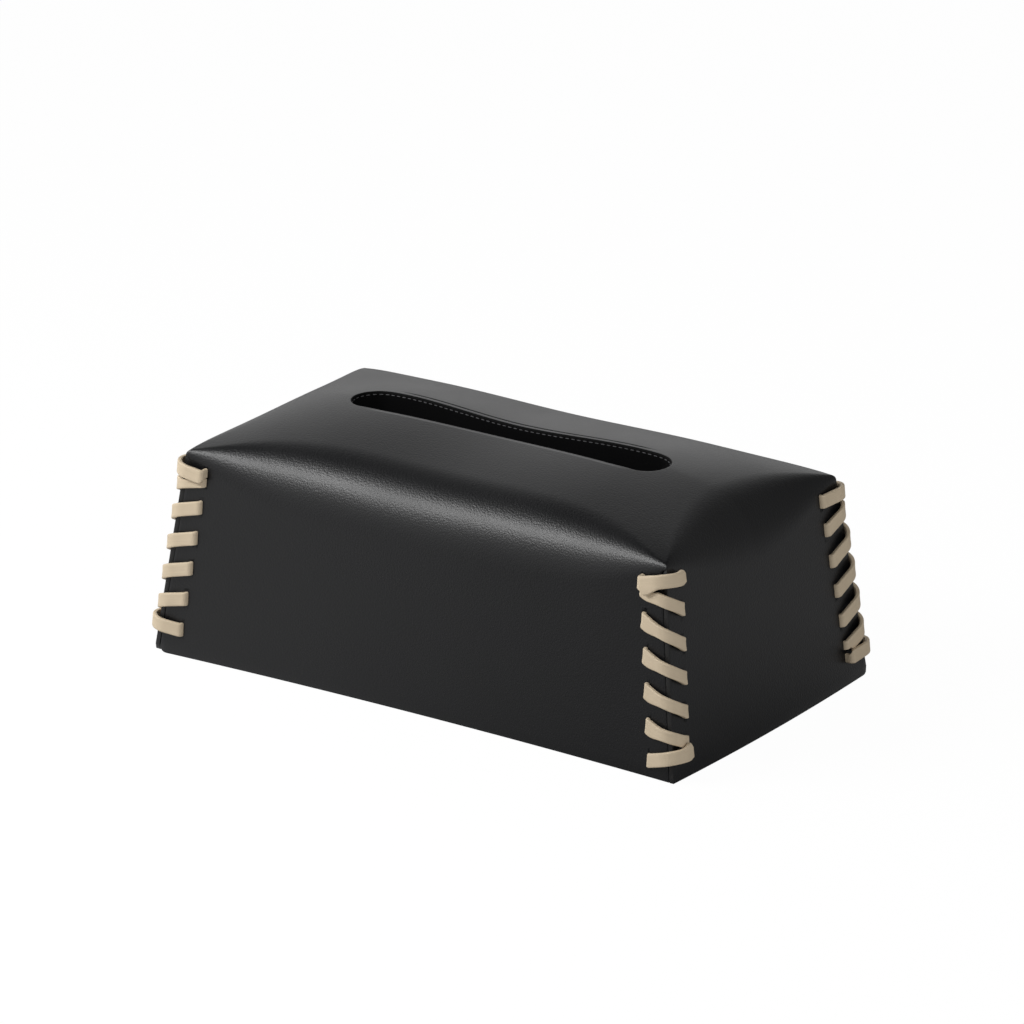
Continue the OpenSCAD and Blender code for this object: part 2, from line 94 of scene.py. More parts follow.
leather = 2 * MM
board = 1 * MM
lining_skin = 0.6 * MM
glue_gap = 0.1 * MM
probe = 0.1 * MM
seam_gap = 0.4 * MM
inner_foot = 1 * MM
lining_depth = leather + board + 2 * glue_gap
wall_depth = lining_depth + lining_skin
seam_opening = 1 * MM
lining_setback = wall_depth + seam_gap

slot_radius = 10.25 * MM
slot_run = 67.25 * MM
slot_waist = 6.7 * MM
slot_reach = slot_run + slot_radius * math.cos(math.pi / 4)
lip_radius = 1.0 * MM
facing_skin = 1 * MM
facing_depth = 13 * MM
facing_back = facing_skin + glue_gap
lining_slot_offset = facing_back + glue_gap
print("Feet", base_length, "x", base_depth, "m, tips at", tip_height, "m")

# %% [markdown]
# ## Working with whole arrays
# A surface is a function of two numbers on a grid. Numpy works out the whole
# grid at once, and one helper puts the points and faces into a mesh.

# %% Small helpers
def ramp(t):
    """Smooth step from 0 to 1: three t squared less two t cubed, held level outside."""
    t = np.clip(t, 0, 1)
    return t * t * (3 - 2 * t)


def mix(a, b, t):
    """The value a share t of the way from a to b."""
    return a + (b - a) * t


def unit(v):
    """Each vector divided by its length."""
    return v / np.linalg.norm(v, axis=-1, keepdims=True)


def stack(x, y, z):
    """Three arrays of coordinates as one array of points."""
    return np.stack(np.broadcast_arrays(x, y, z), -1)


def steps(count):
    """Even shares of the way from 0 to 1, without the 0."""
    return np.linspace(0, 1, count + 1)[1:]


def distances(path):
    """How far along a path each of its points lies: the sum of the lengths before it."""
    return np.concatenate([[0], np.cumsum(np.linalg.norm(np.diff(path, axis=0), axis=1))])


def make_piece(name, points, faces, smooth=True):
    """A mesh object at the origin. faces is an array of quads, or a list of such arrays."""
    faces = np.concatenate(faces) if isinstance(faces, list) else faces
    used, faces = np.unique(faces, return_inverse=True)
    faces = faces.reshape(-1, 4)
    mesh = bpy.data.meshes.new(name)
    mesh.vertices.add(len(used))
    mesh.vertices.foreach_set("co", points.reshape(-1, 3)[used].ravel())
    mesh.loops.add(faces.size)
    mesh.loops.foreach_set("vertex_index", faces.ravel())
    mesh.polygons.add(len(faces))
    mesh.polygons.foreach_set("loop_start", np.arange(0, faces.size, 4))
    mesh.update(calc_edges=True)
    if smooth:
        mesh.shade_smooth()
    else:
        mesh.shade_flat()
    piece = bpy.data.objects.new(name, mesh)
    bpy.context.scene.collection.objects.link(piece)
    return piece


def quads(ids):
    """Four corners of each cell of a grid of point numbers, anticlockwise."""
    cells = np.stack([ids[:-1, :-1], ids[1:, :-1], ids[1:, 1:], ids[:-1, 1:]], -1)
    return cells.reshape(-1, 4)


# %% [markdown]
# ## The leather's surface
# The crown is a low dome over the rectangle of the tips. Each wall is a plane
# that leans from its foot to the edge of the crown, and a soft fold joins the
# two. The fold reaches 22 mm into the top at the middle of a wall and closes to
# a pinch at the corners, which gives the cover its pointed tips. A cubic curve
# makes the fold, level with the wall at one end and with the crown at the other.

# %% The crown, and one wall with its quarter of the top
def crown(x, y):
    """Height of the top: edges that rise from the tips by a power of the distance, a
    dome on them, and a smooth sag between the ends of the slot."""
    u = np.minimum(np.abs(x) * 2 / tip_length, 1)
    v = np.minimum(np.abs(y) * 2 / tip_depth, 1)
    gx = 1 - u**edge_power
    gy = 1 - v**edge_power
    dome = (1 - u**crown_length_power) * (1 - v**crown_depth_power)
    sag = slot_sag * (1 - ramp(np.abs(x) / slot_run)) * (1 - v**sag_power)
    return tip_height + edge_rise * (gx + gy - gx * gy) + (crown_rise - edge_rise) * dome - sag


class Wall:
    """One wall and the part of the top above it. s runs from -1 to 1 along the wall.
    Points are (distance along, distance out from the middle, height)."""

    def __init__(self, turn):
        self.turn = turn
        self.long = turn % 2 == 0
        lengths = (base_length / 2, tip_length / 2)
        depths = (base_depth / 2, tip_depth / 2)
        self.along, self.out = (lengths, depths) if self.long else (depths, lengths)
        self.bow = long_wall_bow if self.long else short_wall_bow
        self.flap_setback = leather + seam_gap if self.long else 0

    def place(self, p):
        """Turns points of this wall into the cover's X, Y and Z."""
        along, out, z = p[..., 0], p[..., 1], p[..., 2]
        x, y = [(along, -out), (out, along), (-along, out), (-out, -along)][self.turn]
        return stack(x, y, z)

    def crown(self, along, out):
        return crown(along, out) if self.long else crown(out, along)

    def foot(self, s, depth, setback):
        """Foot of the wall, bowed as a parabola."""
        along = s * (self.along[0] - setback)
        return stack(along, self.out[0] - depth + self.bow * (1 - (along / self.along[0]) ** 2), 0)

    def edge(self, s, depth, setback):
        """Where the wall's plane would meet the crown."""
        along = s * (self.along[1] - setback)
        out = self.out[1] - depth
        return stack(along, out, self.crown(along, out) - depth)

    def fold_size(self, s, depth):
        """Reach of the fold: q over the cube root of 1 + q cubed opens it away from the tip."""
        q = (1 - np.abs(s)) * self.along[1] / fold_opening
        reach = mix(pinch_reach, fold_reach, q / (1 + q**3) ** (1 / 3)) - depth * fold_nesting
        return np.maximum(reach, pinch_reach * mix(1, pinch_nesting, depth / wall_depth))

    def fold_start(self, s, depth):
        """The edge of the wall's plane, moved down the wall by the size of the fold."""
        foot = self.foot(s, depth, depth)
        edge = self.edge(s, depth, depth)
        return edge - unit(edge - foot) * (self.fold_size(s, depth) * fold_drop)[..., None]

    def inward(self, s):
        """From the fold into the top: straight in, and turned to the middle by a high power of s."""
        return stack(-s * np.abs(s) ** corner_power, -1.0, 0)

    def fold_end(self, s, depth):
        """The edge, moved inward over the crown by the size of the fold."""
        step = self.inward(s) * self.fold_size(s, depth)[..., None]
        p = stack(s * (self.along[1] - depth), self.out[1] - depth, 0) + step
        p[..., 2] = self.crown(p[..., 0], p[..., 1]) - depth
        return p

    def wall_rows(self, s, depth, setback, low, share):
        """Straight lines from the foot to the fold. The cut edges part just below it."""
        top = self.fold_start(s, depth)[..., 2]
        z = mix(low, top, share)
        cut = mix(depth, setback, ramp((top - z) / seam_opening))
        foot = self.foot(s, depth, cut)
        edge = self.edge(s, depth, cut)
        return mix(foot, edge, (z / edge[..., 2])[..., None])

    def fold_rows(self, s, depth, t):
        """Cubic curve whose ends point up the wall and over the crown."""
        a = self.fold_start(s, depth)
        b = self.fold_end(s, depth)
        up = unit(self.edge(s, depth, depth) - self.foot(s, depth, depth))
        step = unit(self.inward(s)) * probe
        rise = self.crown(b[..., 0] + step[..., 0], b[..., 1] + step[..., 1]) - depth - b[..., 2]
        over = unit(stack(step[..., 0], step[..., 1], rise))
        pull = np.linalg.norm(b - a, axis=-1, keepdims=True) * fold_fullness
        t = t[..., None]
        return (
            a * ((2 * t - 3) * t * t + 1)
            + up * pull * t * (1 - t) ** 2
            + b * (3 - 2 * t) * t * t
            - over * pull * t * t * (1 - t)
        )

    def slot_edge(self, s, offset):
        """Outline of the slot, moved out by an offset: round ends, and sides drawn in to a waist."""
        if self.long:
            x = slot_reach * np.sin(math.pi / 2 * s)
            t = np.minimum(np.abs(x) / slot_run, 1)
            slope = np.sign(x) * (slot_radius - slot_waist) * 6 * t * (1 - t) / slot_run
            side = stack(x, mix(slot_waist, slot_radius, ramp(t)), 0)
            side = side + unit(stack(-slope, 1.0, 0)) * np.asarray(offset)[..., None]
            a = np.arcsin(np.clip((np.abs(x) - slot_run) / slot_radius, 0, 1))
            radius = slot_radius + offset
            end = stack(np.sign(x) * (slot_run + radius * np.sin(a)), radius * np.cos(a), 0)
            return np.where((np.abs(x) > slot_run)[..., None], end, side)
        a = math.pi / 4 * s
        radius = slot_radius + offset
        return stack(radius * np.sin(a), slot_run + radius * np.cos(a), 0)

    def slot_rows(self, s, offset, drop):
        """Rows that follow the slot at given offsets, a drop below the crown."""
        p = self.slot_edge(s, offset)
        z = self.crown(p[..., 0], p[..., 1]) - drop
        return stack(p[..., 0], p[..., 1], z)

    def top_rows(self, s, depth, offset, t):
        """Straight in plan from the fold to the slot, at the height of the crown."""
        a = self.fold_end(s, depth)
        b = self.slot_edge(s, np.full_like(s, offset))
        p = mix(a, b, t[..., None])
        return stack(p[..., 0], p[..., 1], self.crown(p[..., 0], p[..., 1]) - depth)


walls = [Wall(turn) for turn in range(4)]
print("Top of the crown:", round(float(crown(0, 0)) * 1000, 1), "mm")


# %% [markdown]
# ## From nets to solid leather
# Leather has a thickness, so two nets are made, one for the outer face and one
# for the inner. They are closed along the foot, along the lip of the slot and
# along the cut edges at the corners. Above the tips the four walls share their
# corner columns. Below them the corner is a butt joint: the leather of a short
# wall runs to it, and that of a long wall stops behind its back. At the foot the
# flaps are cut round at three corners, and the lip rolls down into the slot.

# %% Closing two nets into a solid
def columns(count):
    """Places of the columns from -1 to 1, closer together towards the corners."""
    t = np.linspace(-1, 1, count + 1)
    return ((t + np.sin(math.pi / 2 * t)) / 2)[:, None]


def closed_skin(outer, inner, joined):
    """Point numbers and quads of the solid between two sets of four nets."""
    nets = outer + inner
    sizes = [net.shape[0] * net.shape[1] for net in nets]
    starts = np.cumsum([0] + sizes[:-1])
    ids = [start + np.arange(size).reshape(net.shape[:2]) for start, size, net in zip(starts, sizes, nets)]
    for side in (ids[:4], ids[4:]):
        for w in range(4):
            side[w][-1, joined:] = side[(w + 1) % 4][0, joined:]
    faces, rims = [], []
    for out, back in zip(ids[:4], ids[4:]):
        faces.append(quads(out))
        faces.append(quads(back)[:, ::-1])
        rims.append(quads(np.stack([back[:, 0], out[:, 0]], 1)))
        rims.append(quads(np.stack([out[:, -1], back[:, -1]], 1)))
        if joined:
            rims.append(quads(np.stack([back[0, : joined + 1], out[0, : joined + 1]])))
            rims.append(quads(np.stack([out[-1, : joined + 1], back[-1, : joined + 1]])))
    points = np.concatenate([wall.place(net).reshape(-1, 3) for wall, net in zip(walls * 2, nets)])
    return points, faces, rims


# %% Nets of the leather
long_columns = 112
short_columns = 72
fold_crowding = 1.5
wall_share = 1 - (1 - np.linspace(0, 1, 25)) ** fold_crowding
fold_share = steps(26)
top_share = steps(24)
foot_rounding = 3.2 * MM
lip_zone = 7 * MM
lip_steps = 18
lip_offsets = mix(lip_zone, lip_radius, steps(lip_steps))
roll_steps = 8
roll_angles = steps(roll_steps) * math.pi / 2
leather_roll_steps = 2
crease_offset = 3.2 * MM
crease_width = 0.4 * MM
crease_depth = 0.36 * MM
crease_fade = 12 * MM
front_dip = 0.3 * MM
dip_reach = 2.8 * MM


def lip_drop(wall, s, offset):
    """A pressed line beside the back lip, as a narrow bell curve of depth, and a gentle
    fall of the front lip. Both fade out towards the ends of the slot."""
    share = ramp((slot_run - np.abs(slot_reach * np.sin(math.pi / 2 * s))) / crease_fade)
    line = crease_depth * np.exp(-(((offset - crease_offset) / crease_width) ** 2))
    fall = front_dip * ramp((dip_reach - offset) / (dip_reach - lip_radius))
    return share * {0: fall, 2: line}.get(wall.turn, 0 * offset)


def foot_height(wall, s):
    """Foot of a flap: level, with a quarter circle at its corners, except at the front right."""
    from_edge = np.maximum(foot_rounding - (1 - np.abs(s)) * wall.along[0], 0)
    rise = foot_rounding - np.sqrt(foot_rounding**2 - from_edge**2)
    near = (s > 0) & (wall.turn == 0) | (s < 0) & (wall.turn == 1)
    return np.where(near, 0, rise)


def leather_net(wall, depth):
    """Rows from the foot over the fold to the slot. At the lip the outer face rolls down on a
    quarter circle, and the inner face runs level to the facing and closes under the roll."""
    s = columns(long_columns if wall.long else short_columns)
    rows = [
        wall.wall_rows(s, depth, wall.flap_setback, foot_height(wall, s), wall_share[None, :]),
        wall.fold_rows(s, depth, fold_share[None, :]),
        wall.top_rows(s, depth, lip_zone, top_share[None, :]),
    ]
    if depth == 0:
        rows.append(wall.slot_rows(s, lip_offsets[None, :], lip_drop(wall, s, lip_offsets[None, :])))
        offset = lip_radius * (1 - np.sin(roll_angles))
        drop = mix(lip_drop(wall, s, lip_radius), lip_radius, 1 - np.cos(roll_angles)[None, :])
    else:
        inner = mix(lip_zone, facing_back + lip_radius, steps(lip_steps))
        rows.append(wall.slot_rows(s, inner[None, :], np.full((1, lip_steps), depth)))
        row = np.arange(1, roll_steps + 1)
        offset = facing_back + lip_radius * (1 - np.minimum(row / (roll_steps - 1), 1))
        drop = np.where(row < roll_steps, depth, lip_radius)[None, :]
    rows.append(wall.slot_rows(s, offset[None, :], drop))
    return np.concatenate(rows, axis=1)


points, faces, rims = closed_skin(
    [leather_net(wall, 0) for wall in walls],
    [leather_net(wall, leather) for wall in walls],
    len(wall_share) - 1,
)
cover = make_piece("leather_cover", points, faces + rims)

# %% Which faces have which finish
hide_slot, cut_edge_slot, shaded_roll_slot = range(3)
column_cells = len(wall_share) + len(fold_share) + len(top_share) + lip_steps + roll_steps - 1


def face_finishes(face_count, first_roll_cell):
    """Finish of each face of a net: the hide, and from a cell of each column on, the roll's darker finish
    of painted shade.
    """
    cell = np.arange(face_count) % column_cells
    return np.where(cell < first_roll_cell, hide_slot, shaded_roll_slot)


# From this cell on, the roll takes the darker facing finish: painted shade in place of its highlight.
first_roll_cell = column_cells - roll_steps + leather_roll_steps
finishes = []
for outer, inner in zip(faces[::2], faces[1::2]):
    finishes.append(face_finishes(len(outer), first_roll_cell))
    finishes.append(face_finishes(len(inner), column_cells))
rim_count = sum(len(rim) for rim in rims)
finishes.append(np.full(rim_count, cut_edge_slot))
for slot in (hide_slot, cut_edge_slot, shaded_roll_slot):
    cover.data.materials.append(None)
cover.data.polygons.foreach_set("material_index", np.concatenate(finishes).astype(np.int32))
print("Leather:", len(cover.data.polygons), "faces,", rim_count, "of them on its cut edges")

# %% [markdown]
# ## Slits for the lacing
# The thong passes through upright slits beside each corner, six in each flap.
# The front right corner is laced by its own spacing, and the other three share
# one. Each slit is cut with a small block a little larger than the thong, with
# some slack above and below it. The blocks are one mesh, and a Boolean takes
# them out of the leather and the lining.

# %% Where the slits are
thong_width = 5.8 * MM
thong_skin = 1.8 * MM
long_wall_setback = 11.6 * MM
short_wall_setback = 14.2 * MM
long_wall_top_hole = 79 * MM
short_wall_top_hole = 81 * MM
long_wall_pitch = 13.4 * MM
short_wall_pitch = 13.2 * MM
near_short_setback = 9.2 * MM
near_long_pitch = 14.3 * MM
near_short_pitch = 13.6 * MM
hole_count = 6
slit_gap = 0.3 * MM
pass_gap = 0.35 * MM
top_drop = 2.2 * MM
foot_drop = 2.4 * MM
overrun = 2 * MM
slit_slack = 1.2 * MM


def short_setback(near):
    """From the corner to the slits of a short wall."""
    return near_short_setback if near else short_wall_setback


def hole_heights(wall, near):
    """Heights of the holes of a wall, from the top one down at an even pitch."""
    if wall.long:
        return long_wall_top_hole - (near_long_pitch if near else long_wall_pitch) * np.arange(hole_count)
    return short_wall_top_hole - (near_short_pitch if near else short_wall_pitch) * np.arange(hole_count)


def beside_corner(wall, from_corner, z, rise):
    """Point of a wall at a distance from its far corner, raised off the leather."""
    half = mix(wall.along[0], wall.along[1], z / tip_height)
    s = np.array((half - from_corner) / half)
    foot = wall.foot(s, 0, 0)
    edge = wall.edge(s, 0, 0)
    return np.array([half - from_corner, mix(foot[1], edge[1], z / edge[2]) + rise, z])


def slit_blocks():
    """Eight corners of the block of every slit, in the cover's X, Y and Z. A slit that
    two passes share is taller. A mirrored block swaps its ends, so its faces point outwards."""
    blocks = []
    reach = thong_skin / 2 + slit_gap
    for wall in walls:
        shared = 0 if wall.long else hole_count - 1
        for flip in (0, 1):
            near = wall.turn == flip
            setback = long_wall_setback if wall.long else short_setback(near)
            for i, z in enumerate(hole_heights(wall, near)):
                room = (top_drop if wall.long else foot_drop) if i == shared else 0
                half_tall = (thong_width + room) / 2 + slit_gap
                middle = beside_corner(wall, setback, z, 0)
                low = middle - [reach, wall_depth + overrun, half_tall + slit_slack]
                high = middle + [reach, overrun, half_tall + (slit_slack if i else 0)]
                grid = np.stack(np.meshgrid(*zip(low, high), indexing="ij"), -1).reshape(8, 3)
                blocks.append(wall.place((grid * [-1, 1, 1])[[4, 5, 6, 7, 0, 1, 2, 3]] if flip else grid))
    return np.array(blocks)


BLOCK_FACES = np.array([[0, 1, 3, 2], [4, 6, 7, 5], [0, 4, 5, 1], [2, 3, 7, 6], [0, 2, 6, 4], [1, 5, 7, 3]])


def cut_slits(piece):
    """Takes the slits out of a piece, and removes the cutter again."""
    blocks = slit_blocks()
    block_faces = (BLOCK_FACES[None] + 8 * np.arange(len(blocks))[:, None, None]).reshape(-1, 4)
    cutter = make_piece("slit_cutter", blocks, block_faces, smooth=False)
    boolean = piece.modifiers.new("slits", "BOOLEAN")
    boolean.operation = "DIFFERENCE"
    boolean.solver = "MANIFOLD"
    boolean.object = cutter
    apply_modifiers(piece)
    bpy.data.objects.remove(cutter)
    return len(blocks)


def apply_modifiers(piece):
    """Keeps the mesh that the modifiers give, and takes them off."""
    graph = bpy.context.evaluated_depsgraph_get()
    mesh = bpy.data.meshes.new_from_object(piece.evaluated_get(graph))
    piece.modifiers.clear()
    piece.data = mesh


# %% Soften the cut edges, then cut the slits
edge_softening = 0.4 * MM
soft_angle = math.radians(55)
sharp_angle = math.radians(40)


def soften(piece, width):
    """Rounds the edges of a piece that turn by more than an angle, with a bevel."""
    bevel = piece.modifiers.new("softened edges", "BEVEL")
    bevel.limit_method = "ANGLE"
    bevel.angle_limit = soft_angle
    bevel.width = width
    bevel.segments = 2
    apply_modifiers(piece)


soften(cover, edge_softening)
slit_count = cut_slits(cover)
cover.data.set_sharp_from_angle(angle=sharp_angle)
print("Slits:", slit_count, "leaving", len(cover.data.polygons), "faces")

# %% [markdown]
# ## Lining
# A thinner skin closes the inside over the boards, and hides them. It follows
# the same surface at a greater depth, starts a millimetre above the foot, and
# stops at the back of the slot's facing. The thong passes through it too.

# %% Lining
lining_fold_share = steps(16)
lining_top_share = steps(18)


def lining_net(wall, depth):
    """Rows from just above the foot over the fold to the back of the facing."""
    s = columns(long_columns // 2 if wall.long else short_columns // 2)
    return np.concatenate(
        [
            wall.wall_rows(s, depth, lining_setback, inner_foot, wall_share[None, :]),
            wall.fold_rows(s, depth, lining_fold_share[None, :]),
            wall.top_rows(s, depth, lining_slot_offset, lining_top_share[None, :]),
        ],
        axis=1,
    )


points, faces, rims = closed_skin(
    [lining_net(wall, lining_depth) for wall in walls],
    [lining_net(wall, wall_depth) for wall in walls],
    len(wall_share) - 1,
)
lining = make_piece("inner_lining", points, faces + rims)
cut_slits(lining)
lining.data.set_sharp_from_angle(angle=sharp_angle)
print("Lining:", len(lining.data.polygons), "faces")

# %% [markdown]
# ## Facing and seam of the slot
# A collar of thinner leather lines the slot and hangs 13 mm down inside it. A
# seam holds it to the rolled lip. On the real cover each stitch is a short
# thread between two needle holes, so the seam here is a row of single stitches:
# a long round grain, repeated along the outline of the slot at an even pitch.

# %% Facing
facing_rows = 10
facing_softening = 0.3 * MM
facing_sharp_angle = math.radians(60)


def facing_net(wall, offset):
    """Upright rows at an offset from the slot, from the facing's lower edge up to the lip."""
    s = columns(long_columns if wall.long else short_columns)
    share = np.linspace(0, 1, facing_rows + 1)[None, :]
    drop = mix(facing_depth, lip_radius + glue_gap, share)
    return wall.slot_rows(s, np.full_like(drop, offset), drop)


points, faces, rims = closed_skin(
    [facing_net(wall, facing_skin) for wall in walls],
    [facing_net(wall, 0) for wall in walls],
    0,
)
facing = make_piece("facing_collar", points, faces + rims)
soften(facing, facing_softening)
facing.data.set_sharp_from_angle(angle=facing_sharp_angle)
print("Facing:", len(facing.data.polygons), "faces")

# %% Stitches
stitch_pitch = 2.8 * MM
stitch_length = 1.7 * MM
stitch_thick = 0.42 * MM
stitch_drop = 1.35 * MM
stitch_stand = 0.1 * MM
stitch_rings = 9
stitch_sides = 8
stitch_fullness = 0.98
outline_points = 400


def slot_outline(offset, drop):
    """The whole outline of the slot as one closed row of points."""
    s = np.linspace(-1, 1, outline_points + 1)[:-1]
    parts = [wall.place(wall.slot_rows(s, np.full_like(s, offset), drop)) for wall in walls]
    return np.concatenate(parts)


def walk(path, places):
    """Points of a closed path at given distances along it, with its direction there."""
    closed = np.concatenate([path, path[:1]])
    reach = distances(closed)
    at = lambda d: np.stack([np.interp(d % reach[-1], reach, closed[:, k]) for k in range(3)], -1)
    return at(places), unit(at(places + probe) - at(places - probe))


outline = slot_outline(-stitch_stand, stitch_drop)
outline_length = float(distances(outline)[-1])
stitch_count = round(outline_length / stitch_pitch)
middles, along = walk(outline, np.arange(stitch_count) * outline_length / stitch_count)
upright = np.array([0.0, 0.0, 1.0])
outward = unit(np.cross(along, upright))
lengthwise = np.linspace(-1, 1, stitch_rings)
around = np.linspace(0, 2 * math.pi, stitch_sides, endpoint=False)
swell = np.sqrt(1 - (lengthwise * stitch_fullness) ** 4) * stitch_thick / 2
rings = (
    middles[:, None, None]
    + along[:, None, None] * (lengthwise * stitch_length / 2)[None, :, None, None]
    + outward[:, None, None] * (swell[:, None] * np.cos(around))[None, :, :, None]
    + upright * (swell[:, None] * np.sin(around))[None, :, :, None]
)
ring_ids = np.arange(stitch_rings * stitch_sides).reshape(stitch_rings, stitch_sides)
ring_ids = np.concatenate([ring_ids, ring_ids[:, :1]], axis=1)
one_stitch = quads(ring_ids)
end = np.arange(stitch_sides // 2 - 1)
for ring, order in ((0, 1), (stitch_rings - 1, -1)):
    ids = ring_ids[ring]
    cap = np.stack([ids[end], ids[end + 1], ids[stitch_sides - 2 - end], ids[stitch_sides - 1 - end]], -1)
    one_stitch = np.concatenate([one_stitch, cap[:, ::order]])
step = stitch_rings * stitch_sides
stitch_faces = (one_stitch[None] + step * np.arange(stitch_count)[:, None, None]).reshape(-1, 4)
stitches = make_piece("slot_stitches", rings, stitch_faces)
print("Stitches:", stitch_count, "over", round(outline_length * 1000), "mm")

# %% [markdown]
# ## Lacing
# A flat thong crosses each corner seven times. Its route is a list of stops:
# the two mouths of each slit, and a point off the corner between them. At each
# stop the route turns on an arc, and a flat section with rounded edges is
# carried along it. The first and the last crossing lie over their neighbours
# and share a slit with them, which locks the ends. The route is worked out at
# the front right, with that corner's slits or the other three's, and mirrored.
# Where two lengths are given below, the second is the front right corner's.

# %% Stops of the thong
thong_lift = 0.1 * MM
inner_lift = 0.6 * MM
corner_stand = 3.2 * MM
corner_turn = 7 * MM
corner_lift = 1.5 * MM
over_stand = (4.4 * MM, 4.9 * MM)
over_turn = 7 * MM
over_lift = (1.8 * MM, 3.6 * MM)
mouth_turn = 1.15 * MM
inner_turn = thong_skin
tail = 14 * MM
thong_rise = thong_lift + thong_skin / 2
over_rise = thong_rise + thong_skin + pass_gap
loop_rise = 1.2 * MM
settle = 0.4 * MM
inner_rise = inner_lift + thong_skin / 2
front, right = walls[0], walls[1]


def up_wall(wall):
    """Direction up a wall, square to its thongs."""
    return unit(wall.place(np.array([0, wall.out[1] - wall.out[0], tip_height])))


def long_stop(from_corner, z, rise, turn):
    """A point of the route, the direction across the thong there, and the turn's radius."""
    return [front.place(beside_corner(front, from_corner, z, rise)), up_wall(front), turn]


def short_stop(from_corner, z, rise, turn):
    """The same on the short wall, which has this corner at its other end."""
    p = beside_corner(right, from_corner, z, rise) * [-1, 1, 1]
    return [right.place(p), up_wall(right), turn]


def corner_stop(z, stand, turn):
    """The same off the corner, which leans in as a straight line from the foot to the tip."""
    x = mix(base_length, tip_length, z / tip_height) / 2 + stand
    y = mix(base_depth, tip_depth, z / tip_height) / 2 + stand
    return [np.array([x, -y, z]), unit(up_wall(front) + up_wall(right)), turn]


def wall_pass(stop, setback, z, lie):
    """Stops inside and outside a wall. An over pass stands off the thong below it, and
    a loose loop a little off the leather."""
    rise = {"over": over_rise, "loop": thong_rise + loop_rise}.get(lie, thong_rise)
    inner = stop(setback, z, -wall_depth - inner_rise, mouth_turn if lie == "over" else inner_turn)
    return [inner, stop(setback, z, rise, mouth_turn)]


def crossing(near, z_long, z_short, long_lie, short_lie):
    """Five stops: inside and outside the long wall, off the corner, outside and inside the
    short wall."""
    share = long_wall_setback / (long_wall_setback + short_setback(near))
    z = mix(z_long, z_short, share)
    if "over" in (long_lie, short_lie):
        corner = corner_stop(z + over_lift[near], over_stand[near], over_turn)
    else:
        corner = corner_stop(z + corner_lift, corner_stand, corner_turn)
    long_end = wall_pass(long_stop, long_wall_setback, z_long, long_lie)
    short_end = wall_pass(short_stop, short_setback(near), z_short, short_lie)
    return long_end + [corner] + short_end[::-1]


def lace_stops(near):
    """The whole route, from the tail by the top slit of the long wall to the tail by the
    lowest slit of the short wall."""
    long_holes = hole_heights(front, near)
    short_holes = hole_heights(right, near)
    top = long_holes[0] - settle
    low = short_holes[-1]
    inside = -wall_depth - inner_rise
    first_lie = "loop" if near else "alone"
    stops = [long_stop(long_wall_setback + tail, long_holes[0] - thong_width, inside, 0)]
    stops += crossing(near, top + top_drop / 2, short_holes[0], "over", first_lie)
    stops += crossing(near, top - top_drop / 2, short_holes[1] + slit_slack / 2, "under", "alone")
    for i in range(1, hole_count - 2):
        stops += crossing(near, long_holes[i], short_holes[i + 1], "alone", "alone")
    stops += crossing(near, long_holes[-2], low + foot_drop / 2, "alone", "under")
    last_low = low - foot_drop / 2 - slit_slack
    stops += crossing(near, long_holes[-1] - settle, last_low, "alone", "over")
    stops.append(short_stop(short_setback(near) + tail, low - foot_drop / 2, inside, 0))
    return stops


def rounded_route(stops, arc_steps=12):
    """Centres and across-directions along the route: an arc at each stop, straight between them.
    Also gives the number of the ring at the middle of each stop."""
    centres, across, marks = [stops[0][0]], [stops[0][1]], [0]
    for before, stop, after in zip(stops, stops[1:], stops[2:]):
        u = unit(before[0] - stop[0])
        v = unit(after[0] - stop[0])
        half_angle = math.acos(np.clip(u @ v, -1, 1)) / 2
        middle = stop[0] + unit(u + v) * stop[2] / math.sin(half_angle)
        run = stop[2] / math.tan(half_angle)
        p = stop[0] + u * run - middle
        q = stop[0] + v * run - middle
        sweep = math.pi - 2 * half_angle
        t = np.linspace(0, 1, arc_steps + 1)[:, None]
        arc = middle + (p * np.sin((1 - t) * sweep) + q * np.sin(t * sweep)) / math.sin(sweep)
        marks.append(len(centres) + arc_steps // 2)
        centres.extend(arc)
        across.extend([stop[1]] * len(arc))
    centres.append(stops[-1][0])
    across.append(stops[-1][1])
    marks.append(len(centres) - 1)
    return np.array(centres), np.array(across), marks


# %% [markdown]
# ## Where the strip is narrower or wider
# Leather this soft doesn't keep its width. It is squeezed where two passes share
# a slit, and at the front right corner, which is laced loosely, each crossing
# draws in at its middle, the first one hangs, and the last passes of the first
# and the last crossing fold up into small ears. Each of these is a smooth bump
# on the upper or the lower half of the strip, at a place along its way.

# %% Half widths along the thong
# A waist or swell is a height, a place and a length, as loose_shape says.
squeeze = 2 * MM
squeeze_ramp = 1.4 * MM
squeeze_reach = 4 * MM
mouth_clear = 0.4 * MM
under_clear = 2.6 * MM
tuck_reach = (14 * MM, 9 * MM)
tuck_ramp = 5 * MM
free_ramp = 1 * MM
upper_waist = (0.95 * MM, -0.5, 0.45)
lower_waist = (0.75 * MM, 0.35, 0.5)
lower_swell = (-1.2 * MM, -0.75, 0.35)
hang = 2.2 * MM
hang_reach = 10.5 * MM
hang_ramp = 8 * MM
ear_heights = (0.8 * MM, 1.9 * MM)
ear_length = 2.8 * MM
ear_place = 2.8 * MM
pinch_length = 1.7 * MM
pinch_share = 0.38


def bell(distance, length):
    """A bump of height 1: e to the power of minus the square of distance over length."""
    return np.exp(-((distance / length) ** 2))


def between(places, start, end, rise=squeeze_ramp, fall=squeeze_ramp):
    """1 between two places, with a smooth step up after the start and down before the end."""
    return ramp((places - start) / rise) * ramp((end - places) / fall)


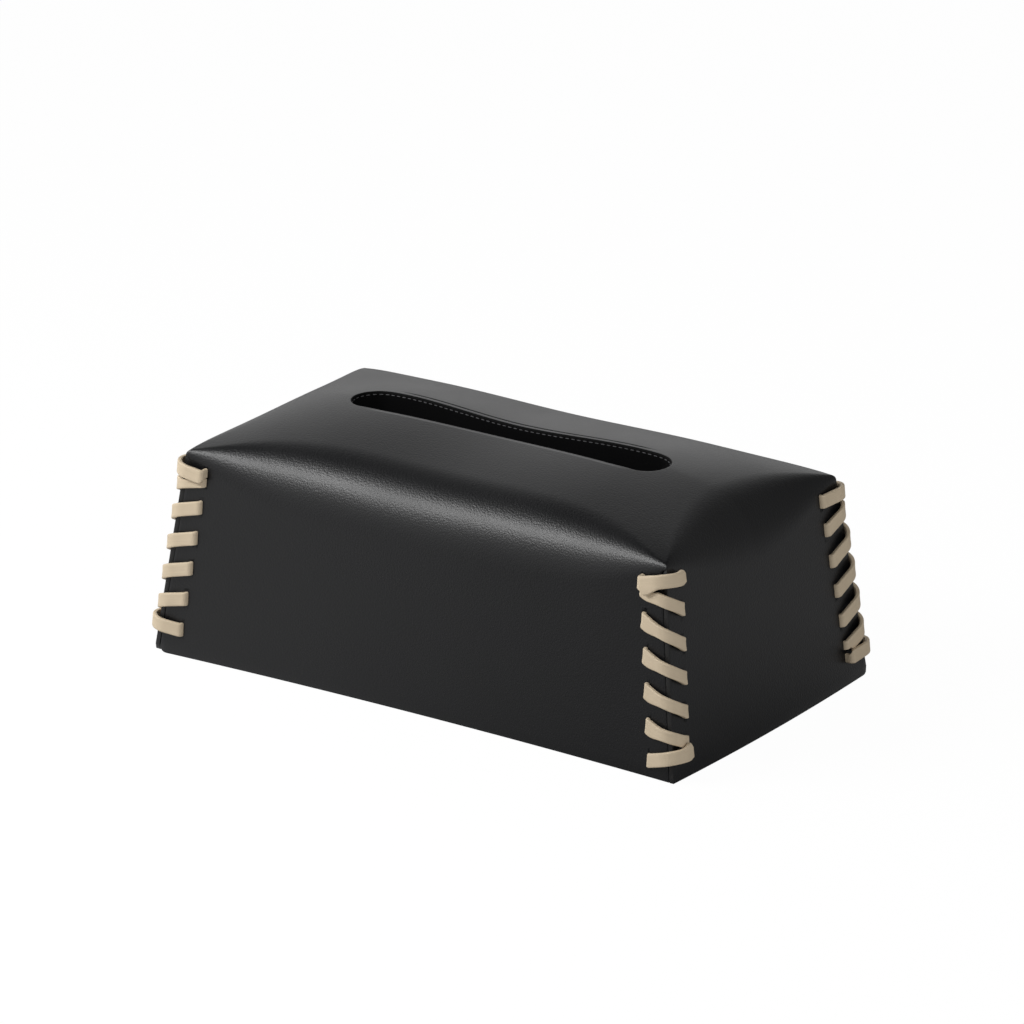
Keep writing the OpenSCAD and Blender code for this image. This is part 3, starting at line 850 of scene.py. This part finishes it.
def shared_slit_squeeze(near, places, crossings):
    """What the upper and the lower half lose where two passes share a slit, and where the
    second pass is tucked under the first. A crossing's stops are numbered 0 to 4."""
    first, second, sixth, last = crossings[[0, 1, -2, -1]]
    tuck_end = second[1] + tuck_reach[near]
    upper = between(places, second[0] - squeeze_reach, tuck_end, fall=tuck_ramp)
    upper += between(places, last[3] - mouth_clear, last[4] + squeeze_reach)
    lower = between(places, first[0] - squeeze_reach, first[1] + mouth_clear)
    lower += between(places, sixth[3] - under_clear, sixth[4] + squeeze_reach)
    return squeeze * upper, squeeze * lower


def loose_shape(places, crossings):
    """What each half of the width loses at the loosely laced corner. A bump is a height, its
    place from -1 at the long wall over 0 at the corner to 1 at the short wall, and a length."""
    upper = np.zeros_like(places)
    lower = np.zeros_like(places)
    for stops in crossings[1:-1]:
        share = np.interp(places, stops[1:4], [-1, 0, 1])
        free = between(places, stops[0], stops[4], free_ramp, free_ramp)
        for half, bumps in ((upper, [upper_waist]), (lower, [lower_waist, lower_swell])):
            for height, place, length in bumps:
                half += free * height * bell(share - place, length)
    first, last = crossings[[0, -1]]
    lower -= hang * between(places, first[1] + mouth_clear, first[1] + hang_reach, fall=hang_ramp)
    for mouth, height in zip((first[3], last[3]), ear_heights):
        upper -= height * bell(places - mouth + ear_place, ear_length)
    pinch = pinch_share * sum(bell(places - stops[3], pinch_length) for stops in (first, last))
    return upper, lower, pinch


# %% The thong along its route
ring_pitch = 0.4 * MM
edge_radius = 0.55 * MM
corner_points = 5
face_points = 6


def thong_section():
    """Half width and half thickness round a flat strip with rounded edges, anticlockwise."""
    turn = np.linspace(0, math.pi / 2, corner_points)
    w = thong_width / 2 - edge_radius
    h = thong_skin / 2 - edge_radius
    rim = np.stack([w + edge_radius * np.cos(turn), h + edge_radius * np.sin(turn)], -1)
    across = np.linspace(w, -w, face_points + 2)[1:-1]
    face = np.stack([across, np.full(face_points, thong_skin / 2)], -1)
    upper = np.concatenate([rim, face, (rim * [-1, 1])[::-1]])
    return np.concatenate([upper, -upper])


section = thong_section()


def lace_rings(near):
    """Rings of the thong and how far along it each one lies: the section set square to the
    route, with each half of its width drawn in or let out."""
    centres, across, marks = rounded_route(lace_stops(near))
    reach = distances(centres)
    places = np.arange(0, reach[-1], ring_pitch)
    path = np.stack([np.interp(places, reach, centres[:, k]) for k in range(3)], -1)
    wide = np.stack([np.interp(places, reach, across[:, k]) for k in range(3)], -1)
    tangent = unit(np.gradient(path, axis=0))
    wide = unit(wide - tangent * (wide * tangent).sum(-1, keepdims=True))
    thick = np.cross(tangent, wide)
    crossings = reach[marks][1:-1].reshape(-1, 5)
    upper, lower = shared_slit_squeeze(near, places, crossings)
    pinch = np.zeros_like(places)
    if near:
        loose_upper, loose_lower, pinch = loose_shape(places, crossings)
        upper += loose_upper
        lower += loose_lower
    share = section[:, 0] / (thong_width / 2)
    half_width = section[:, 0] * (1 - pinch[:, None])
    half_width -= upper[:, None] * np.clip(share, 0, 1)
    half_width += lower[:, None] * np.clip(-share, 0, 1)
    points = path[:, None] + wide[:, None] * half_width[..., None]
    points += thick[:, None] * section[:, 1][:, None]
    corner = "the front right corner" if near else "each other corner"
    print("Thong of", corner + ":", round(reach[-1] * 1000), "mm")
    return points, places


def make_lace(name, rings, sides):
    """The thong as one closed tube, mirrored by the signs of X and Y."""
    points, places = rings
    count = len(section)
    ids = np.arange(len(places) * count).reshape(-1, count)
    ids = np.concatenate([ids, ids[:, :1]], axis=1)
    tube = quads(ids)
    k = np.arange(count // 2 - 1)
    start, stop = ids[0], ids[-1]
    caps = [
        np.stack([start[k], start[k + 1], start[count - 2 - k], start[count - 1 - k]], -1),
        np.stack([stop[count - 1 - k], stop[count - 2 - k], stop[k + 1], stop[k]], -1),
    ]
    faces = np.concatenate([tube] + caps)
    mirrored = sides[0] * sides[1] < 0
    piece = make_piece(name, points * [*sides, 1], faces[:, ::-1] if mirrored else faces)
    add_strip_map(piece, places)
    return piece


def add_strip_map(piece, places):
    """A UV map: metres along the thong, and metres round its section."""
    around = distances(section)
    numbers = np.zeros(len(piece.data.loops), np.int32)
    piece.data.loops.foreach_get("vertex_index", numbers)
    uv = np.stack([places[numbers // len(section)], around[numbers % len(section)]], -1)
    piece.data.uv_layers.new(name="strip").data.foreach_set("uv", uv.astype(np.float32).ravel())


other_rings = lace_rings(near=False)
laces = {
    "lace_front_right": make_lace("thong_front_right", lace_rings(near=True), (1, 1)),
    "lace_front_left": make_lace("thong_front_left", other_rings, (-1, 1)),
    "lace_back_right": make_lace("thong_back_right", other_rings, (1, -1)),
    "lace_back_left": make_lace("thong_back_left", other_rings, (-1, -1)),
}
print("Each thong:", len(laces["lace_front_left"].data.polygons), "faces")

# %% [markdown]
# ## Writing shader maths
# A material is a graph of nodes. Writing it as Python expressions keeps it
# readable: a Signal is one output socket, and adding or multiplying Signals
# adds the Math nodes.

# %% Signals and paints
class Signal:
    """An output socket of a material, with arithmetic."""

    def __init__(self, paint, socket):
        self.paint = paint
        self.socket = socket

    def math(self, operation, *values):
        sockets = dict(enumerate(values))
        return self.paint.node("ShaderNodeMath", {"operation": operation}, sockets)

    def __add__(self, other):
        return self.math("ADD", self, other)

    def __mul__(self, other):
        return self.math("MULTIPLY", self, other)

    def __rsub__(self, other):
        return self.math("SUBTRACT", other, self)

    __radd__ = __add__
    __rmul__ = __mul__


class Paint:
    def __init__(self, name, tree=None):
        if tree is None:
            self.material = bpy.data.materials.new(name)
            self.material.use_nodes = True
            tree = self.material.node_tree
        self.tree = tree
        self.tree.nodes.clear()

    def node(self, kind, settings=(), sockets=(), output=0):
        """Adds a node: its settings first, then values or links for its sockets, by name or
        number."""
        node = self.tree.nodes.new(kind)
        for name, value in dict(settings).items():
            setattr(node, name, value)
        for name, value in dict(sockets).items():
            if isinstance(value, Signal):
                self.tree.links.new(value.socket, node.inputs[name])
            else:
                node.inputs[name].default_value = value
        return Signal(self, node.outputs[output]) if node.outputs else None

    def place(self):
        return self.node("ShaderNodeTexCoord", output="Object")

    def noise(self, vector, scale, detail=2.0, roughness=0.5):
        sockets = {"Vector": vector, "Scale": scale, "Detail": detail, "Roughness": roughness}
        return self.node("ShaderNodeTexNoise", {}, sockets)

    def blend(self, share, one, other):
        """Mixes two colours by a share."""
        return self.node("ShaderNodeMix", {"data_type": "RGBA"}, {0: share, 6: one, 7: other}, 2)

    def bump(self, height, strength, distance):
        sockets = {"Height": height, "Strength": strength, "Distance": distance}
        return self.node("ShaderNodeBump", {}, sockets)

    def fade(self, value, start, end, full=1.0):
        """A smooth step from 0 to full while a value goes from start to end."""
        sockets = {"Value": value, "From Min": start, "From Max": end, "To Max": full}
        return self.node("ShaderNodeMapRange", {"interpolation_type": "SMOOTHSTEP"}, sockets)

    def along(self, vector, direction):
        """How far a vector reaches in a direction: their dot product."""
        dot = {"operation": "DOT_PRODUCT"}
        return self.node("ShaderNodeVectorMath", dot, {0: vector, 1: direction}, "Value")

    def rays(self, camera, mirrored):
        """How much of a white backdrop shows to the camera, and in gloss and glass."""
        seen = self.node("ShaderNodeLightPath", output="Is Camera Ray")
        gloss = self.node("ShaderNodeLightPath", output="Is Glossy Ray")
        glass = self.node("ShaderNodeLightPath", output="Is Transmission Ray")
        return seen * camera + (gloss + glass) * mirrored

    def finish(self, **sockets):
        """The Principled shader with the given inputs; an underscore in a name stands for a space."""
        named = {name.replace("_", " "): value for name, value in sockets.items()}
        shader = self.node("ShaderNodeBsdfPrincipled", {}, named)
        self.node("ShaderNodeOutputMaterial", {}, {"Surface": shader})
        return self.material


def rgb(red, green, blue):
    return (red, green, blue, 1.0)


def grey(level):
    return rgb(level, level, level)


# %% [markdown]
# ## Finishes
# The cover is smooth black leather with a satin finish and a fine grain. Grain
# is small rounded cells with narrow valleys, which a Voronoi pattern gives at
# just under a millimetre, with finer noise for the pores. Broad noise varies
# the sheen a little, as on any hide. The cut edges are dyed a little paler. The
# rolled lip and the facing of the slot get a darker, duller finish, which is
# painted shade: it darkens the inside of the slot and hides the highlight that
# the roll would catch.

# %% Black leather
hide_black = rgb(0.0030, 0.0032, 0.0040)
hide_worn = rgb(0.0046, 0.0048, 0.0056)
edge_black = rgb(0.008, 0.008, 0.0081)
edge_worn = rgb(0.011, 0.011, 0.0111)
# Darker than the hide: painted shade for the inside of the slot and its rolled lip.
facing_shade_black = rgb(0.0016, 0.0016, 0.0018)
facing_shade_worn = rgb(0.0026, 0.0026, 0.0028)
grain_scale = 1300
grain_smoothness = 0.4
grain_share = 0.7
pore_scale = 3600
cloud_scale = 22
cloud_sheen = 0.1
pore_sheen = 0.06
fine_relief = 0.1 * MM
coarse_relief = 0.2 * MM


def black_leather(name, black, worn, roughness, grain, gloss):
    """Grain from rounded cells and pores. Clouds and pores vary the sheen round a mean."""
    paint = Paint(name)
    place = paint.place()
    cells = paint.node("ShaderNodeTexVoronoi", {"feature": "SMOOTH_F1"},
                       {"Vector": place, "Scale": grain_scale, "Smoothness": grain_smoothness})
    pores = paint.noise(place, pore_scale)
    clouds = paint.noise(place, cloud_scale, 3.0)
    color = paint.blend(clouds, black, worn)
    height = (1 - cells) * grain_share + pores * (1 - grain_share)
    normal = paint.bump(height, grain, fine_relief)
    least = roughness - (cloud_sheen + pore_sheen) / 2
    sheen = clouds * cloud_sheen + pores * pore_sheen + least
    return paint.finish(Base_Color=color, Roughness=sheen, Normal=normal, IOR=1.45,
                        Specular_IOR_Level=gloss)


hide = black_leather("cover_hide", hide_black, hide_worn, 0.36, 0.8, 0.42)
cut_edge = black_leather("cut_edge", edge_black, edge_worn, 0.45, 0.8, 0.4)
# The rolled lip and the facing take the darker, duller finish as painted shade.
shaded_facing_hide = black_leather("shaded_facing_hide", facing_shade_black, facing_shade_worn, 0.65, 0.6, 0.08)
cover.data.materials[hide_slot] = hide
cover.data.materials[cut_edge_slot] = cut_edge
cover.data.materials[shaded_roll_slot] = shaded_facing_hide
facing.data.materials.append(shaded_facing_hide)

# %% Lining, boards and thread
def lining_suede():
    paint = Paint("lining_suede")
    place = paint.place()
    nap = paint.noise(place, 2600, 4.0, 0.65)
    clouds = paint.noise(place, 60, 3.0)
    color = paint.blend(nap * 0.6 + clouds * 0.4, grey(0.003), grey(0.008))
    normal = paint.bump(nap, 0.5, coarse_relief)
    return paint.finish(Base_Color=color, Roughness=0.9, Normal=normal, Specular_IOR_Level=0.12)


def pressed_board():
    paint = Paint("pressed_board")
    fibres = paint.noise(paint.place(), 900, 6.0, 0.7)
    color = paint.blend(fibres, rgb(0.17, 0.13, 0.085), rgb(0.33, 0.27, 0.19))
    normal = paint.bump(fibres, 0.4, coarse_relief)
    return paint.finish(Base_Color=color, Roughness=0.85, Normal=normal)


def seam_thread():
    paint = Paint("seam_thread")
    twist = paint.noise(paint.place(), 4200)
    color = paint.blend(twist, rgb(0.04, 0.04, 0.043), rgb(0.09, 0.09, 0.093))
    normal = paint.bump(twist, 0.4, fine_relief)
    return paint.finish(Base_Color=color, Roughness=0.6, Normal=normal)


lining.data.materials.append(lining_suede())
stitches.data.materials.append(seam_thread())
board_paint = pressed_board()
board_names = ["top_board", "front_board", "back_board", "left_board", "right_board"]
for name in board_names:
    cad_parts[name].data.materials.clear()
    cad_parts[name].data.materials.append(board_paint)

# %% [markdown]
# The thong is flat beige leather, matt, with faint ribs along it from the
# cutting rolls. The ribs follow the strip wherever it turns, so the pattern
# reads the UV map: metres along the thong and metres round it.

# %% Beige thong
thong_dark = rgb(0.56, 0.453, 0.318)
thong_pale = rgb(0.80, 0.665, 0.48)
rib_stretch = (60, 3200, 1)


def beige_hide():
    paint = Paint("beige_hide")
    strip = paint.node("ShaderNodeUVMap", {"uv_map": "strip"})
    ribs = paint.node("ShaderNodeMapping", {}, {"Vector": strip, "Scale": rib_stretch})
    fibre = paint.noise(ribs, 1.0, 3.0, 0.6)
    clouds = paint.noise(paint.place(), 130, 3.0)
    color = paint.blend(fibre * 0.6 + clouds * 0.4, thong_dark, thong_pale)
    normal = paint.bump(fibre, 0.5, coarse_relief)
    return paint.finish(Base_Color=color, Roughness=0.62, Normal=normal)


thong_paint = beige_hide()
for piece in laces.values():
    piece.data.materials.append(thong_paint)

# %% [markdown]
# ## Which piece stands for which solid
# Each fine piece replaces its plain solid and rides on the same body. The boards
# keep their solids, as they lie hidden between the leather and the lining.

# %% Join the pieces to the solid model
pieces = {
    "outer_shell": (cover, "black_leather"),
    "lining": (lining, "lining_leather"),
    "slot_facing": (facing, "facing_leather"),
    "slot_stitching": (stitches, "grey_thread"),
}
pieces.update({node: (piece, "beige_thong") for node, piece in laces.items()})
for node, (piece, finish) in pieces.items():
    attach(piece, "root")
    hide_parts(node)
print("Pieces:", sorted(piece.name for piece, finish in pieces.values()))

# %% [markdown]
# ## Studio
# The cover stands on a white floor in a white studio. A wide soft lamp at the
# front left draws the bright band along the fold. Leather this dark shows what
# it mirrors more than its own colour: the top mirrors the backdrop low behind
# the cover, and the dark line above the fold is the ceiling, so the studio is
# white low down and dark overhead. The front wall mirrors the floor, which glows
# white to gloss alone at the left in front, and a little at the right: a painted
# reflection that no lamp casts. Light Path shows the camera plain white, and the
# matt floor keeps the cover's shadow.

# %% Floor
# Each painted glow, seen only in gloss, starts and is full at these distances from the middle, in metres.
floor_size = 8.0
under_feet = 0.2 * MM
floor_white = 1.05
white_to_camera = 0.93
white_to_leather = 0.06
left_direction = (-0.84, 0.54, 0)
left_painted_glow = 0.75
left_start, left_end = -0.15, 0.1
back_start, back_end = 0.3, 0.0
right_painted_glow = 0.15
right_start, right_end = 0.13, 0.26
bpy.ops.mesh.primitive_plane_add(size=floor_size, location=(0, 0, -under_feet))
floor = bpy.context.object
floor.name = "floor"
paint = Paint("pale_floor")
place = paint.place()
matt = paint.node("ShaderNodeBsdfDiffuse", {}, {"Color": grey(0.5)})
white = paint.node("ShaderNodeEmission", {}, {"Color": grey(1), "Strength": floor_white})
# The floor glows white to gloss rays alone in two patches: a painted reflection on the walls, not lamp
# light.
glow = paint.fade(paint.along(place, left_direction), left_start, left_end, left_painted_glow)
glow = glow * paint.fade(paint.along(place, (0, 1, 0)), back_start, back_end)
glow = glow + paint.fade(paint.along(place, (1, 0, 0)), right_start, right_end, right_painted_glow)
share = paint.rays(white_to_camera, glow + white_to_leather)
shown = paint.node("ShaderNodeMixShader", {}, {0: share, 1: matt, 2: white})
paint.node("ShaderNodeOutputMaterial", {}, {"Surface": shown})
floor.data.materials.append(paint.material)
print("Floor:", floor_size, "m across")

# %% World
# The ceiling and the shaded side start and are full at these heights and places of
# a direction of length 1.
ceiling = grey(0.015)
backdrop = grey(0.95)
backdrop_right = grey(0.227)
ceiling_start, ceiling_end = 0.53, 0.85
shade_start, shade_end = -0.6, 0.1
studio_to_camera = 1.0
studio_to_leather = 0.03
world = bpy.data.worlds.new("studio")
world.use_nodes = True
bpy.context.scene.world = world
studio = Paint("studio", world.node_tree)
direction = studio.node("ShaderNodeTexCoord", output="Generated")
overhead = studio.fade(studio.along(direction, (0, 0, 1)), ceiling_start, ceiling_end)
shaded = studio.fade(studio.along(direction, (1, 0, 0)), shade_start, shade_end)
sky = studio.blend(overhead, studio.blend(shaded, backdrop, backdrop_right), ceiling)
color = studio.blend(studio.rays(studio_to_camera, studio_to_leather), sky, grey(1))
light = studio.node("ShaderNodeBackground", {}, {"Color": color, "Strength": 1.0})
studio.node("ShaderNodeOutputWorld", {}, {"Surface": light})

# %% Lamps
def softbox(name, place, target, size, power):
    """A rectangular lamp that faces a point."""
    lamp = bpy.data.lights.new(name, "AREA")
    lamp.shape = "RECTANGLE"
    lamp.size, lamp.size_y = size
    lamp.energy = power
    holder = bpy.data.objects.new(name, lamp)
    holder.location = place
    holder.rotation_euler = (Vector(target) - Vector(place)).to_track_quat("-Z", "Y").to_euler()
    bpy.context.scene.collection.objects.link(holder)


cover_middle = (0, 0, 0.05)
softbox("key", (-0.42, -0.50, 0.60), cover_middle, (0.5, 0.17), 4.5)
softbox("fill", (1.25, -0.30, 0.55), cover_middle, (0.9, 0.9), 4.9)

# %% [markdown]
# ## Camera
# The photograph looks down at about 21 degrees from the front right, through a
# long lens from three metres away, so the cover's parallel edges stay nearly
# parallel. The camera aims above the cover, which puts the cover low in the
# frame.

# %% Place and aim the camera
azimuth = math.radians(34.42)
elevation = math.radians(20.84)
camera_distance = 3.12
cover_centre = Vector((0, 0, 0.039))
lens_per_frame = 7.331
sensor = 36
aim_right = 0.0010
aim_up = 0.0258
back = Vector((
    math.sin(azimuth) * math.cos(elevation),
    -math.cos(azimuth) * math.cos(elevation),
    math.sin(elevation),
))
right_hand = Vector((math.cos(azimuth), math.sin(azimuth), 0))
upward = back.cross(right_hand)
camera_data = bpy.data.cameras.new("camera")
camera_data.sensor_width = sensor
camera_data.lens = lens_per_frame * sensor
camera_data.clip_start = 0.1
camera_data.clip_end = 20
camera = bpy.data.objects.new("camera", camera_data)
camera.location = cover_centre + back * camera_distance
aim = cover_centre + right_hand * aim_right + upward * aim_up
camera.rotation_euler = (camera.location - aim).to_track_quat("Z", "Y").to_euler()
bpy.context.scene.collection.objects.link(camera)
bpy.context.scene.camera = camera
bpy.context.scene.view_settings.view_transform = "Standard"
